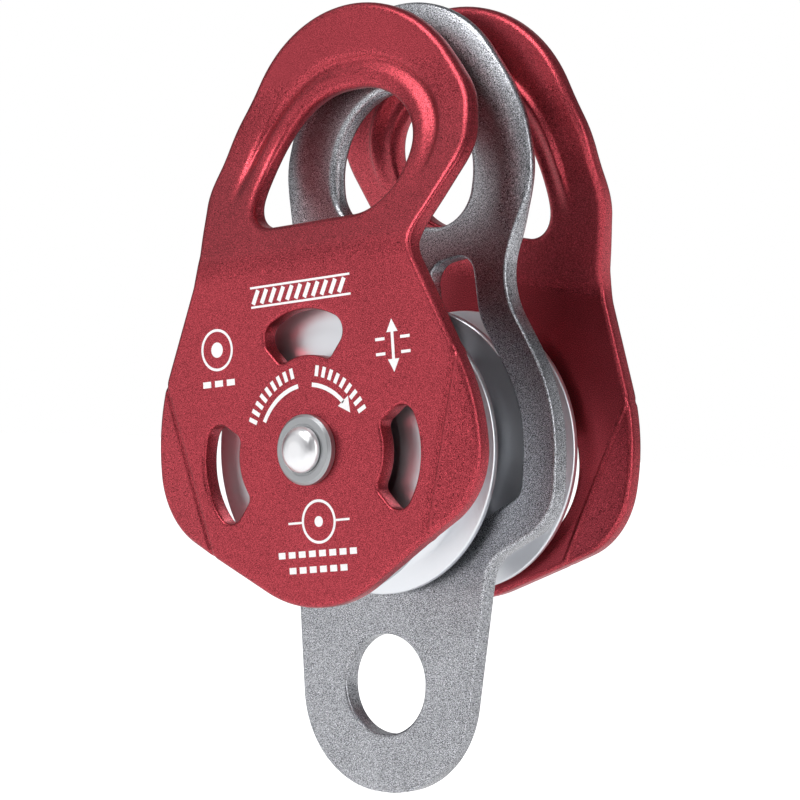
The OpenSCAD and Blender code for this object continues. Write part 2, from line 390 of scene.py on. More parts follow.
def new_piece(name, bm, place, body, finish, replaced):
    """Turns a finished mesh into a piece that stands for CAD nodes and rides on a body."""
    bmesh.ops.transform(bm, matrix=place, verts=bm.verts)
    if place.determinant() < 0:
        bmesh.ops.reverse_faces(bm, faces=bm.faces)
    mesh = bpy.data.meshes.new(name)
    bm.to_mesh(mesh)
    bm.free()
    mesh.shade_smooth()
    piece = bpy.data.objects.new(name, mesh)
    bpy.context.scene.collection.objects.link(piece)
    mesh.materials.append(bpy.data.materials[finish])
    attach(piece, body)
    if replaced:
        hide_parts(*replaced)
    return piece


# Distances from the edge at which a plate's rounding is sampled
EDGE_RUNS = (0.04, 0.13, 0.27, 0.45, 0.68, 0.95, 1.25, 1.6, 2.0, 2.1)
# Further distances round a side plate's eye, across the groove pressed there
PRESSED_RUNS = (2.6, 3.1, 3.6, 4.1, 4.5, 4.9, 5.2, 5.5, 5.8, 6.1, 6.4, 6.8, 7.3)


def ring_edge(bm, corners, side, run_layer, runs):
    """Lays loops along an outline, on its left (1) or right (-1); returns the last loop's edges."""
    loop = draw_outline(bm, corners)
    inward = bm.verts.layers.float_vector["inward"]
    count = len(loop)
    for i in range(count):
        here, last, following = loop[i].co, loop[i - 1].co, loop[(i + 1) % count].co
        along = (here - last).normalized() + (following - here).normalized()
        loop[i][inward] = Vector((-along.y, along.x, 0)).normalized() * side
    edges = [bm.edges.get((loop[i - 1], loop[i])) for i in range(count)]
    last = 0
    for run in runs:
        grown = bmesh.ops.extrude_edge_only(bm, edges=edges)["geom"]
        edges = [g for g in grown if isinstance(g, bmesh.types.BMEdge)]
        for vert in (g for g in grown if isinstance(g, bmesh.types.BMVert)):
            vert.co += vert[inward] * (run - last)
            vert[run_layer] = run
            vert.tag = True
        last = run
    return edges


def lay_sheet(bm, outline, holes, eye, eye_runs):
    """Lays a flat sheet with holes and an eye, round which eye_runs adds further loops.

    Layer edge_run keeps each vertex's distance from the edge.
    """
    run_layer = bm.verts.layers.float.new("edge_run")
    bm.verts.layers.float_vector.new("inward")
    rims = ring_edge(bm, outline, 1, run_layer, EDGE_RUNS)
    rims += ring_edge(bm, eye, -1, run_layer, EDGE_RUNS + eye_runs)
    for hole in holes:
        rims += ring_edge(bm, hole, -1, run_layer, EDGE_RUNS)
    bmesh.ops.triangle_fill(bm, use_beauty=True, edges=rims, normal=(0, 0, 1))
    bmesh.ops.recalc_face_normals(bm, faces=bm.faces)
    return run_layer


ACROSS = Vector((1, 0, 0))
UPWARDS = Vector((0, 1, 0))


def cut_rows(bm, normal, low, high, cell):
    """Cuts a flat sheet into even rows between two places, so that it can be bent smoothly."""
    steps = math.ceil((high - low) / cell)
    for i in range(steps):
        bmesh.ops.bisect_plane(
            bm,
            geom=bm.verts[:] + bm.edges[:] + bm.faces[:],
            dist=0.0005,
            plane_co=normal * (low + (high - low) * (i + 0.5) / steps),
            plane_no=normal,
        )


def thicken(bm, run_layer, outer_height, inner_height, rounding):
    """Makes a closed plate of a flat sheet, with rounded edges on both faces."""
    lower = list(bm.verts)
    raised = bmesh.ops.extrude_face_region(bm, geom=bm.faces[:], use_keep_orig=True)
    upper = [v for v in raised["geom"] if isinstance(v, bmesh.types.BMVert)]
    for verts, height, side in ((upper, outer_height, -1), (lower, inner_height, 1)):
        for vert in verts:
            edge = rounding(vert.co)
            short = max(0, edge - vert[run_layer])
            drop = edge - math.sqrt(edge * edge - short * short)
            vert.co.z = height(vert.co) + side * drop
    bmesh.ops.recalc_face_normals(bm, faces=bm.faces)


def smooth_step(low, high, value):
    """0 below low, 1 above high and a smooth rise between."""
    t = min(1, max(0, (value - low) / (high - low)))
    return t * t * (3 - 2 * t)


def turned_mesh(section, steps):
    """Spins a closed section of corners (radius, station, rounding) about the axle."""
    bm = bmesh.new()
    draw_outline(bm, section)
    bmesh.ops.spin(
        bm,
        geom=bm.verts[:] + bm.edges[:],
        cent=(0, 0, 0),
        axis=(0, 1, 0),
        angle=2 * math.pi,
        steps=steps,
        use_merge=True,
    )
    bmesh.ops.remove_doubles(bm, verts=bm.verts, dist=0.0005)
    bmesh.ops.recalc_face_normals(bm, faces=bm.faces)
    return bm


# ---- Finishes ----------------------------------------------------------------------------------


class Nodes:
    """Adds and joins the nodes of one material or node group."""

    def __init__(self, tree):
        self.tree = tree

    def add(self, kind, **settings):
        """Adds a node; settings are its properties."""
        node = self.tree.nodes.new(kind)
        for name, value in settings.items():
            setattr(node, name, value)
        return node

    def join(self, source, target):
        """Joins an output socket to an input socket."""
        self.tree.links.new(source, target)

    def math(self, operation, a, b=None, clamp=False):
        """Adds a Math node on sockets or numbers and returns its output."""
        node = self.add("ShaderNodeMath", operation=operation, use_clamp=clamp)
        for socket, value in zip(node.inputs, (a, b)):
            if isinstance(value, bpy.types.NodeSocket):
                self.join(value, socket)
            elif value is not None:
                socket.default_value = value
        return node.outputs[0]

    def about_zero(self, pattern, amount):
        """Moves a pattern's middle from a half to zero, scales it and returns the output."""
        return self.math("MULTIPLY", self.math("SUBTRACT", pattern, 0.5), amount)

    def noise(self, vector, scale, detail):
        """Adds a noise pattern and returns its value."""
        node = self.add("ShaderNodeTexNoise")
        self.join(vector, node.inputs["Vector"])
        node.inputs["Scale"].default_value = scale
        node.inputs["Detail"].default_value = detail
        return node.outputs["Fac"]


def effect_group(name, inputs, outputs):
    """Starts a node group with named sockets; returns it, its inputs and its outputs."""
    tree = bpy.data.node_groups.new(name, "ShaderNodeTree")
    for label, kind, default in inputs:
        socket = tree.interface.new_socket(label, in_out="INPUT", socket_type=kind)
        if default is not None:
            socket.default_value = default
    for label, kind in outputs:
        tree.interface.new_socket(label, in_out="OUTPUT", socket_type=kind)
    n = Nodes(tree)
    return n, n.add("NodeGroupInput").outputs, n.add("NodeGroupOutput").inputs


COLOUR, VALUE, VECTOR = "NodeSocketColor", "NodeSocketFloat", "NodeSocketVector"
# Places of a Mix node's colour sockets, which share their names with its other sockets
MIX_A, MIX_B, MIX_RESULT = 6, 7, 2


def blasted_group():
    """Bead-blasted grain: a speckled colour, a patchy roughness and the height of the pits."""
    n, given, out = effect_group(
        "Blasted grain",
        [
            ("Vector", VECTOR, None),
            ("Color", COLOUR, (0.5, 0.5, 0.5, 1)),
            ("Speckle", VALUE, 0.3),
            ("Roughness", VALUE, 0.45),
        ],
        [("Color", COLOUR), ("Roughness", VALUE), ("Height", VALUE)],
    )
    fine = n.noise(given["Vector"], 8000, 0)
    coarse = n.noise(given["Vector"], 5600, 0)
    patch = n.noise(given["Vector"], 60, 3)
    grain = n.math("ADD", n.math("MULTIPLY", fine, 0.7), n.math("MULTIPLY", coarse, 0.3))
    swing = n.about_zero(grain, n.math("MULTIPLY", given["Speckle"], 3))
    drift = n.about_zero(patch, n.math("MULTIPLY", given["Speckle"], 0.2))
    shade = n.math("ADD", n.math("ADD", swing, drift), 1)
    tint = n.add("ShaderNodeMix", data_type="RGBA", blend_type="MULTIPLY")
    tint.inputs["Factor"].default_value = 1
    n.join(given["Color"], tint.inputs[MIX_A])
    n.join(shade, tint.inputs[MIX_B])
    n.join(tint.outputs[MIX_RESULT], out["Color"])
    rough = n.about_zero(patch, 0.2)
    n.join(n.math("ADD", rough, given["Roughness"], clamp=True), out["Roughness"])
    n.join(grain, out["Height"])
    return n.tree


def turned_group():
    """Turning marks: fine rings about the axle, with a height and an uneven roughness."""
    n, given, out = effect_group(
        "Turning marks",
        [("Vector", VECTOR, None), ("Spacing", VALUE, 0.0002), ("Roughness", VALUE, 0.2)],
        [("Roughness", VALUE), ("Height", VALUE)],
    )
    parts = n.add("ShaderNodeSeparateXYZ")
    n.join(given["Vector"], parts.inputs[0])
    ring = n.math("POWER", parts.outputs["X"], 2)
    ring = n.math("SQRT", n.math("ADD", ring, n.math("POWER", parts.outputs["Z"], 2)))
    # On a flank the rings follow the radius, and on a rim the place along the axle
    along = n.math("ADD", ring, n.math("MULTIPLY", parts.outputs["Y"], 0.9))
    turns = n.math("DIVIDE", along, given["Spacing"])
    wave = n.math("SINE", n.math("MULTIPLY", turns, 2 * math.pi))
    only = n.add("ShaderNodeCombineXYZ")
    n.join(along, only.inputs["X"])
    uneven = n.noise(only.outputs[0], 2400, 4)
    band = n.noise(only.outputs[0], 420, 2)
    height = n.math("ADD", n.math("MULTIPLY", wave, 0.25), uneven)
    n.join(height, out["Height"])
    rough = n.about_zero(band, 0.25)
    n.join(n.math("ADD", rough, given["Roughness"], clamp=True), out["Roughness"])
    return n.tree


class Finish:
    """A material in the making: its nodes, its shader and the pieces' own coordinates."""

    def __init__(self, name, colour_value, metallic, roughness):
        self.material = bpy.data.materials.new(name)
        self.material.use_nodes = True
        self.nodes = Nodes(self.material.node_tree)
        self.shader = self.material.node_tree.nodes["Principled BSDF"]
        self.shader.inputs["Base Color"].default_value = (*colour_value, 1)
        self.shader.inputs["Metallic"].default_value = metallic
        self.shader.inputs["Roughness"].default_value = roughness
        place = self.nodes.add("ShaderNodeMapping")
        place.inputs["Location"].default_value = -AXLE
        coordinates = self.nodes.add("ShaderNodeTexCoord")
        self.nodes.join(coordinates.outputs["Object"], place.inputs["Vector"])
        self.vector = place.outputs["Vector"]

    def effect(self, tree, **values):
        """Places a shared effect with its values and returns its node."""
        group = self.nodes.add("ShaderNodeGroup", node_tree=tree)
        self.nodes.join(self.vector, group.inputs["Vector"])
        for name, value in values.items():
            group.inputs[name].default_value = value
        return group

    def relief(self, height, distance):
        """Feeds the shader's normal from a height."""
        bump = self.nodes.add("ShaderNodeBump")
        bump.inputs["Distance"].default_value = distance
        bump.inputs["Strength"].default_value = 1
        self.nodes.join(height, bump.inputs["Height"])
        self.nodes.join(bump.outputs["Normal"], self.shader.inputs["Normal"])


def blasted_finish(name, colour_value, metallic, roughness, speckle, relief):
    """A bead-blasted metal, or a matt plastic or print, with a fine grain."""
    finish = Finish(name, colour_value, metallic, roughness)
    n = finish.nodes
    grain = finish.effect(
        bpy.data.node_groups["Blasted grain"],
        Color=(*colour_value, 1),
        Speckle=speckle,
        Roughness=roughness,
    )
    n.join(grain.outputs["Color"], finish.shader.inputs["Base Color"])
    n.join(grain.outputs["Roughness"], finish.shader.inputs["Roughness"])
    finish.relief(grain.outputs["Height"], relief)
    return finish.material


def turned_finish(name, colour_value, metallic, roughness, spacing, relief):
    """A turned metal with fine rings about the axle."""
    finish = Finish(name, colour_value, metallic, roughness)
    marks = finish.effect(
        bpy.data.node_groups["Turning marks"], Spacing=spacing, Roughness=roughness
    )
    finish.nodes.join(marks.outputs["Roughness"], finish.shader.inputs["Roughness"])
    finish.relief(marks.outputs["Height"], relief)
    return finish.material


def build_finishes(colours):
    """Makes the shared effects and every finish."""
    blasted_group()
    turned_group()
    blasted_finish("Red anodised", colours.red, 0.9, 0.36, 1.8, 0.00002)
    blasted_finish("Grey anodised", colours.grey, 1, 0.33, 3.2, 0.00003)
    turned_finish("Bright alloy", colours.alloy, 0.9, 0.32, 0.00022, 0.000004)
    turned_finish("Polished steel", colours.steel, 1, 0.34, 0.00030, 0.000002)
    turned_finish("Turned steel", colours.washer, 1, 0.42, 0.00025, 0.000010)
    turned_finish("Bronze", colours.bronze, 1, 0.38, 0.00030, 0.000006)
    blasted_finish("Black acetal", colours.black, 0, 0.45, 0.20, 0.00001)
    blasted_finish("White print", colours.white, 0, 0.55, 0.10, 0.00001)


# ---- The pieces --------------------------------------------------------------------------------

# Side plates: bends of the joggle, measured in the plate's own section
JOGGLE_SLOPE = math.radians(34)
FOOT_BEND_R = 8.0
EYE_BEND_R = 40.0
JOGGLE_START = 39.0
SIDE_MID = SIDE_OUT - SIDE_HALF
EYE_MID = 7.25
BEND_REACH = math.tan(JOGGLE_SLOPE / 2)
FOOT_BEND = JOGGLE_START - FOOT_BEND_R * BEND_REACH
EYE_BEND = JOGGLE_START + (SIDE_MID - EYE_MID) / math.tan(JOGGLE_SLOPE) + EYE_BEND_R * BEND_REACH


def joggle(height, offset):
    """Distance from the pulley's middle of a side plate's face, offset from its middle surface."""
    foot_r = FOOT_BEND_R + offset
    eye_r = EYE_BEND_R - offset
    foot_end = FOOT_BEND + foot_r * math.sin(JOGGLE_SLOPE)
    eye_start = EYE_BEND - eye_r * math.sin(JOGGLE_SLOPE)
    if height <= FOOT_BEND:
        return SIDE_MID + offset
    if height <= foot_end:
        return SIDE_MID - FOOT_BEND_R + math.sqrt(foot_r**2 - (height - FOOT_BEND) ** 2)
    if height >= EYE_BEND:
        return EYE_MID + offset
    if height >= eye_start:
        return EYE_MID + EYE_BEND_R - math.sqrt(eye_r**2 - (EYE_BEND - height) ** 2)
    run = SIDE_MID - FOOT_BEND_R + foot_r * math.cos(JOGGLE_SLOPE)
    return run - (height - foot_end) * math.tan(JOGGLE_SLOPE)


# The crease of a wing runs from the flank down to the keel
CREASE_TOP = Vector((37.3, 12.5))
CREASE_FOOT = Vector((28.6, -18.2))
CREASE_ALONG = (CREASE_FOOT - CREASE_TOP).normalized()
CREASE_DEPTH = 0.38
CREASE_HALF = 0.45
# The sheet is cut finely this far to each side of a crease
CREASE_REACH = 1.4
CREASE_CELL = 0.35
# Sets how gently the bend of a wing begins beside its crease
BEND_SOFTNESS = 0.03
# Widths of the walls of the groove pressed round an eye, and the bulge between it and the eye
GROOVE_OUTER = 0.85
GROOVE_INNER = 1.7
BULGE = 0.22
BULGE_PLACE = 3.1
BULGE_HALF = 1.3
# Heights between which the pressing rises from nothing to its full depth
PRESSING_RISE = (51, 64)
# Heights between which a plate's edges pass from its foot's rounding to its eye's
SIDE_EDGE_CHANGE = (46, 56)
CENTRE_EDGE_CHANGE = (44, 56)
# Width of the cambered band beside the outline of the centre plate's eye
CAMBER_WIDTH = 7.0
# The centre plate is cut into rows over its cambered eye, out to this half width
CAMBER_HALF_W = 34


def wing_depth(place, bend):
    """How far the wing of a side plate is bent inwards at a place."""
    across = Vector((-CREASE_ALONG.y, CREASE_ALONG.x))
    beyond = (Vector((abs(place.x), place.y)) - CREASE_TOP).dot(across)
    crease = CREASE_DEPTH * math.exp(-((beyond / CREASE_HALF) ** 2))
    return crease + math.tan(bend) * (beyond + math.sqrt(beyond * beyond + BEND_SOFTNESS)) / 2


def edge_distance(corners):
    """A search tree of points close together along an outline."""
    bm = bmesh.new()
    draw_outline(bm, corners)
    straight_runs = [e for e in bm.edges if e.calc_length() > 1.5]
    bmesh.ops.subdivide_edges(bm, edges=straight_runs, cuts=20)
    bmesh.ops.subdivide_edges(bm, edges=bm.edges[:], cuts=12)
    tree = KDTree(len(bm.verts))
    for i, vert in enumerate(bm.verts):
        tree.insert(vert.co, i)
    tree.balance()
    bm.free()
    return tree


def side_plate_mesh(settings):
    """A side plate lying flat, with its joggle, pressed eye, bent wings and rounded edges."""
    bm = bmesh.new()
    slots = [kidney_slot(a) for a in SLOT_DIRECTIONS]
    holes = [round_hole(SIDE_BORE_R, 0), *slots]
    run_layer = lay_sheet(bm, SIDE_OUTLINE, holes, SIDE_EYE, PRESSED_RUNS)
    for side in (-1, 1):
        across = Vector((-CREASE_ALONG.y * side, CREASE_ALONG.x, 0))
        at = across.dot(Vector((CREASE_TOP.x * side, CREASE_TOP.y, 0)))
        cut_rows(bm, across, at - CREASE_REACH, at + CREASE_REACH, CREASE_CELL)
    # The flat foot can do with wider rows than the joggle and the pressed eye above it
    cell = settings.cell / MM
    fine_from = FOOT_BEND - 2
    cut_rows(bm, ACROSS, -PLATE_HALF_W, PLATE_HALF_W, 1.3 * cell)
    cut_rows(bm, UPWARDS, SIDE_KEEL_TIP, fine_from, 2.2 * cell)
    cut_rows(bm, UPWARDS, fine_from, EYE_TOP, cell)
    tree = edge_distance(SIDE_EYE)
    place_of_groove = settings.groove_place / MM
    depth = settings.groove_depth / MM

    def pressed(place):
        """Height of the pressing round the eye, above the plate's face."""
        away = tree.find((place.x, place.y, 0))[2]
        share = smooth_step(*PRESSING_RISE, place.y)
        wall = GROOVE_OUTER if away > place_of_groove else GROOVE_INNER
        groove = depth * math.exp(-(((away - place_of_groove) / wall) ** 2))
        bulge = BULGE * math.exp(-(((away - BULGE_PLACE) / BULGE_HALF) ** 2))
        return share * (bulge - groove)

    def outer(place):
        return joggle(place.y, SIDE_HALF) + pressed(place) - wing_depth(place, settings.wing_bend)

    def inner(place):
        return joggle(place.y, -SIDE_HALF) + pressed(place) - wing_depth(place, settings.wing_bend)

    def rounding(place):
        if Vector(place[:2]).length < SLOT_ZONE:
            return settings.slot_edge / MM
        share = smooth_step(*SIDE_EDGE_CHANGE, place.y)
        return (settings.side_edge * (1 - share) + settings.side_eye_edge * share) / MM

    thicken(bm, run_layer, outer, inner, rounding)
    return bm


def upright(fan, side):
    """Stands a flat-lying plate up at the front (-1) or rear (1) and turns it on the axle."""
    stand = Matrix(((1, 0, 0, 0), (0, 0, side, 0), (0, 1, 0, 0), (0, 0, 0, 1)))
    return HANG @ Matrix.Rotation(fan, 4, "Y") @ stand


def centre_plate_mesh(settings):
    """The centre plate lying flat, with a cambered crown and a softly rounded eye."""
    bm = bmesh.new()
    holes = [WINDOW, mirrored(WINDOW), round_hole(BECKET_HOLE_R, -BECKET_DROP)]
    run_layer = lay_sheet(bm, CENTRE_OUTLINE, holes, CENTRE_EYE, ())
    cut_rows(bm, UPWARDS, CENTRE_EDGE_CHANGE[0], EYE_TOP, 1.5)
    cut_rows(bm, ACROSS, -CAMBER_HALF_W, CAMBER_HALF_W, 2)
    tree = edge_distance(CENTRE_OUTLINE)

    def camber(place):
        """How far the face has fallen below the plate's full thickness, near the outline."""
        away = tree.find((place.x, place.y, 0))[2]
        share = smooth_step(*CENTRE_EDGE_CHANGE, place.y)
        return settings.camber / MM * share * (1 - min(1, away / CAMBER_WIDTH)) ** 2

    def rounding(place):
        eye_share = smooth_step(*CENTRE_EDGE_CHANGE, place.y)
        wanted = settings.centre_edge if camber(place) else settings.centre_eye_edge
        return (settings.centre_edge * (1 - eye_share) + wanted * eye_share) / MM

    def outer(place):
        return CENTRE_HALF - camber(place)

    def inner(place):
        return camber(place) - CENTRE_HALF

    thicken(bm, run_layer, outer, inner, rounding)
    return bm


def both_halves(rear):
    """A whole section from its rear half, which is listed from the middle to the rear."""
    return [(r, -y, rounding) for r, y, rounding in reversed(rear)] + rear


# How high above the tread the groove's walls begin, as a share of the radius of its bottom
FLARE_SHARE = 0.3572


def sheave_section(settings, inner, outer, bore, rim):
    """Section of a sheave: hub, recess, flank, rim and rope groove, at both sides."""
    mid = (inner + outer) / 2
    half = (outer - inner) / 2
    web = half - settings.recess_depth / MM
    recess = settings.recess_radius / MM
    hub = settings.hub_radius / MM
    tread = rim - settings.tread_depth / MM
    lip = half - 1.5
    flare = tread + settings.tread_round / MM * FLARE_SHARE
    rear = [
        (tread, lip * 0.62, settings.tread_round / MM * 0.86),
        (flare + 1.2, lip * 0.80, 0.4),
        (rim, lip, 0.5),
        (rim, half, 0.6),
        (recess, half, 0.3),
        (recess - 0.8, web, 0.8),
        (hub + 0.8, web, 0.8),
        (hub, half, 0.3),
        (bore, half, 0.2),
    ]
    return [(r, mid + y, rounding) for r, y, rounding in both_halves(rear)]


def ring_section(node, bore):
    """Section of a plain ring, with the edges of its rim a little rounded."""
    low, high = span(node)
    rim = radius(node)
    round_off = min(0.25, (rim - bore) / 4)
    return [
        (bore, low.y, 0),
        (rim, low.y, round_off),
        (rim, high.y, round_off),
        (bore, high.y, 0),
    ]


def rivet_section(settings):
    """Section of the rivet: its shank between two domed heads."""
    head_r = settings.head_radius / MM
    head_h = settings.head_height / MM
    end = span("axle_rivet")[1].y
    seat = end - head_h
    return both_halves(
        [
            (SHANK_R, seat, 0),
            (head_r, seat, 0.15),
            (head_r - 0.15, seat + head_h * 0.36, 1.2),
            (head_r * 0.72, end - 0.25, 2.6),
            (head_r * 0.36, end, 4),
            (0, end, 0),
        ]
    )


def head_washer_section(node, side, head_r):
    """Section of the washer under a head, bevelled outside, with a shallow seat for the head."""
    low, high = span(node)
    near, far = (low.y, high.y) if side > 0 else (high.y, low.y)
    rim = radius(node)
    bevel = 0.6
    seat = far - side * 0.12
    return [
        (SHANK_R, near, 0),
        (rim, near, 0.2),
        (rim, far - side * bevel, 0.15),
        (rim - bevel, far, 0.15),
        (head_r + 0.5, far, 0.2),
        (head_r + 0.35, seat, 0.1),
        (SHANK_R, seat, 0),
    ]


class PieceOperator:
    """What the operators of the pieces share."""

    bl_options = {"REGISTER", "UNDO"}

    def execute(self, context):
        """Builds the pieces; an error stops the script."""
        self.build(context.scene.pulley_looks)
        return {"FINISHED"}


class PULLEY_OT_finishes(PieceOperator, Operator):
    """Make the finishes of every piece"""

    bl_idname = "pulley.finishes"
    bl_label = "Finishes"

    def build(self, looks):
        build_finishes(looks.finishes)


class PULLEY_OT_centre_plate(PieceOperator, Operator):
    """Build the centre plate with its eye, windows and becket"""

    bl_idname = "pulley.centre_plate"
    bl_label = "Centre plate"

    def build(self, looks):
        new_piece(
            "centre_plate_body",
            centre_plate_mesh(looks.plates),
            upright(0, -1),
            "centre_frame",
            "Grey anodised",
            ["centre_plate"],
        )


class PULLEY_OT_side_plates(PieceOperator, Operator):
    """Build the two joggled side plates"""

    bl_idname = "pulley.side_plates"
    bl_label = "Side plates"

    def build(self, looks):
        flat = side_plate_mesh(looks.plates)
        for name, side, body in (("front", -1, "front_cheek"), ("rear", 1, "rear_cheek")):
            new_piece(
                f"{name}_side_plate_body",
                flat.copy(),
                upright(side * FAN, side),
                body,
                "Red anodised",
                [f"{name}_side_plate"],
            )
        flat.free()


class PULLEY_OT_sheaves(PieceOperator, Operator):
    """Turn the two sheaves"""

    bl_idname = "pulley.sheaves"
    bl_label = "Sheaves"

    def build(self, looks):
        for name in ("front", "rear"):
            low, high = span(f"{name}_sheave")
            bush = radius(f"{name}_sheave_bush")
            section = sheave_section(looks.turned, low.y, high.y, bush, radius(f"{name}_sheave"))
            new_piece(
                f"{name}_sheave_body",
                turned_mesh(section, looks.turned.steps),
                HANG,
                f"{name}_wheel",
                "Bright alloy",
                [f"{name}_sheave"],
            )


class PULLEY_OT_bearings(PieceOperator, Operator):
    """Turn the bushes, the sleeves and the thrust washers"""

    bl_idname = "pulley.bearings"
    bl_label = "Bearings"

    def build(self, looks):
        sleeve = radius("rear_sleeve")
        running_bore = sleeve + 0.05
        rings = []
        for side in ("front", "rear"):
            rings.append((f"{side}_sheave_bush", f"{side}_wheel", "bushes", "Bronze", running_bore))
            rings.append((f"{side}_sleeve", "centre_frame", "axle_steel", "Turned steel", SHANK_R))
            for place in ("inner", "outer"):
                node = f"{side}_{place}_thrust_washer"
                rings.append((node, "centre_frame", "thrust_washers", "Black acetal", sleeve))
        for node, body, slot, finish, bore in rings:
            new_piece(
                f"{node}_body",
                turned_mesh(ring_section(node, bore), looks.turned.steps),
                HANG,
                body,
                finish,
                [node],
            )


class PULLEY_OT_axle(PieceOperator, Operator):
    """Turn the rivet and the washers under its heads"""

    bl_idname = "pulley.axle"
    bl_label = "Axle"

    def build(self, looks):
        sizes = looks.turned
        new_piece(
            "axle_rivet_body",
            turned_mesh(rivet_section(sizes), sizes.steps),
            HANG,
            "centre_frame",
            "Polished steel",
            ["axle_rivet"],
        )
        for name, side in (("front", -1), ("rear", 1)):
            node = f"{name}_head_washer"
            section = head_washer_section(node, side, sizes.head_radius / MM)
            new_piece(
                f"{node}_body",
                turned_mesh(section, sizes.steps),
                HANG,
                "centre_frame",
                "Turned steel",
                [node],
            )


# ---- Printed marks -----------------------------------------------------------------------------

MARK_T = 0.035
DIAL_R = 13.2
WHEEL_MARK = (-23.3, 22.6)
BECKET_MARK = (1.5, -14.6)


def ray(degrees):
    """The unit vector in a direction given in degrees."""
    a = math.radians(degrees)
    return Vector((math.cos(a), math.sin(a)))


def bar(bm, start, end, width):
    """A straight bar between two points."""
    a, b = Vector(start), Vector(end)
    side = (b - a).orthogonal().normalized() * width / 2
    bm.faces.new([bm.verts.new((*p, 0)) for p in (a + side, a - side, b - side, b + side)])


def band(bm, centre, r, width, start, swing):
    """A band along an arc about a centre, from one angle through another, in degrees."""
    outward = ray(start)
    ends = [
        bm.verts.new((*(Vector(centre) + outward * s), 0)) for s in (r - width / 2, r + width / 2)
    ]
    edge = bm.edges.new(ends)
    bmesh.ops.spin(
        bm,
        geom=[*ends, edge],
        cent=(*centre, 0),
        axis=(0, 0, 1),
        angle=math.radians(swing),
        steps=max(2, math.ceil(abs(swing) / 6)),
        use_merge=abs(swing) == 360,
    )


def dot(bm, centre, r):
    """A filled round."""
    bmesh.ops.create_circle(
        bm, cap_ends=True, segments=20, radius=r, matrix=Matrix.Translation((*centre, 0))
    )


def arrow_head(bm, point, direction, size):
    """A triangle that points in a direction given in degrees."""
    ahead = ray(direction)
    side = Vector((-ahead.y, ahead.x))
    base = Vector(point) - ahead * size
    corners = (Vector(point), base + side * size * 0.55, base - side * size * 0.55)
    bm.faces.new([bm.verts.new((*p, 0)) for p in corners])


def draw_marks(bm):
    """Plain pictograms: a rope, a wheel, turning arrows, load arrows and a gauge of bars."""
    for i in range(11):
        x = -12.2 + i * 2.3
        bar(bm, (x - 0.4, 30.9), (x + 1.1, 33.7), 1.0)
    for z in (30.3, 34.3):
        bar(bm, (-13.2, z), (13.4, z), 0.45)

    for place, r in ((WHEEL_MARK, 4.1), (BECKET_MARK, 4.2)):
        band(bm, place, r, 0.55, 0, 360)
    dot(bm, WHEEL_MARK, 1.6)
    for x in (-26.6, -23.3, -20.0):
        bar(bm, (x - 1.1, 15.6), (x + 1.1, 15.6), 1.3)

    bar(bm, (23.4, 16.2), (23.4, 21.6), 0.7)
    arrow_head(bm, (23.4, 24.2), 90, 2.6)
    arrow_head(bm, (23.4, 13.6), 270, 2.6)
    for z in (17.4, 20.4):
        bar(bm, (19.0, z), (21.4, z), 0.6)
        bar(bm, (25.4, z), (27.8, z), 0.6)

    band(bm, (0, 0), DIAL_R, 0.9, 150, -52)
    band(bm, (0, 0), DIAL_R, 0.9, 82, -40)
    arrow_head(bm, at_angle(DIAL_R, 30, 0)[:2], -56, 3.0)
    for start in (154, 78):
        for i in range(9):
            spoke = ray(start - i * 6.5)
            bar(bm, spoke * 15.0, spoke * 17.2, 0.9)

    dot(bm, BECKET_MARK, 1.1)
    bar(bm, (-2.9, -14.6), (-6.6, -14.6), 0.45)
    bar(bm, (5.9, -14.6), (9.6, -14.6), 0.45)
    for row, z in enumerate((-21.0, -24.2)):
        for i in range(8 - 2 * row):
            x = -8.8 + row * 2.7 + i * 2.7
            bar(bm, (x - 0.9, z), (x + 0.9, z), 1.3)


class PULLEY_OT_marks(PieceOperator, Operator):
    """Print plain pictograms on the front side plate"""

    bl_idname = "pulley.marks"
    bl_label = "Printed marks"

    def build(self, looks):
        bm = bmesh.new()
        draw_marks(bm)
        bmesh.ops.recalc_face_normals(bm, faces=bm.faces)
        raised = bmesh.ops.extrude_face_region(bm, geom=bm.faces[:], use_keep_orig=True)
        upper = [v for v in raised["geom"] if isinstance(v, bmesh.types.BMVert)]
        bmesh.ops.translate(bm, verts=upper, vec=(0, 0, 2 * MARK_T))
        bmesh.ops.translate(bm, verts=bm.verts, vec=(0, 0, SIDE_OUT - MARK_T))
        bmesh.ops.recalc_face_normals(bm, faces=bm.faces)
        piece = new_piece(
            "front_side_plate_marks",
            bm,
            upright(-FAN, -1),
            "front_cheek",
            "White print",
            [],
        )
        piece.data.shade_flat()


# ---- Stage -------------------------------------------------------------------------------------


def outwards(azimuth, elevation):
    """The unit vector from the pulley towards a camera or light, by its angles in radians."""
    level = math.cos(elevation)
    return Vector((math.sin(azimuth) * level, -math.cos(azimuth) * level, math.sin(elevation)))


def soft_box(name, azimuth, elevation, distance, size, power):
    """A rectangular soft light that looks at the axle; its angles are in degrees."""
    light = bpy.data.lights.new(name, "AREA")
    light.shape = "RECTANGLE"
    light.size, light.size_y = size
    light.energy = power
    back = outwards(math.radians(azimuth), math.radians(elevation))
    lamp = bpy.data.objects.new(name, light)
    lamp.rotation_mode = "QUATERNION"
    lamp.location = AXLE + back * distance
    lamp.rotation_quaternion = (-back).to_track_quat("-Z", "Y")
    bpy.context.scene.collection.objects.link(lamp)


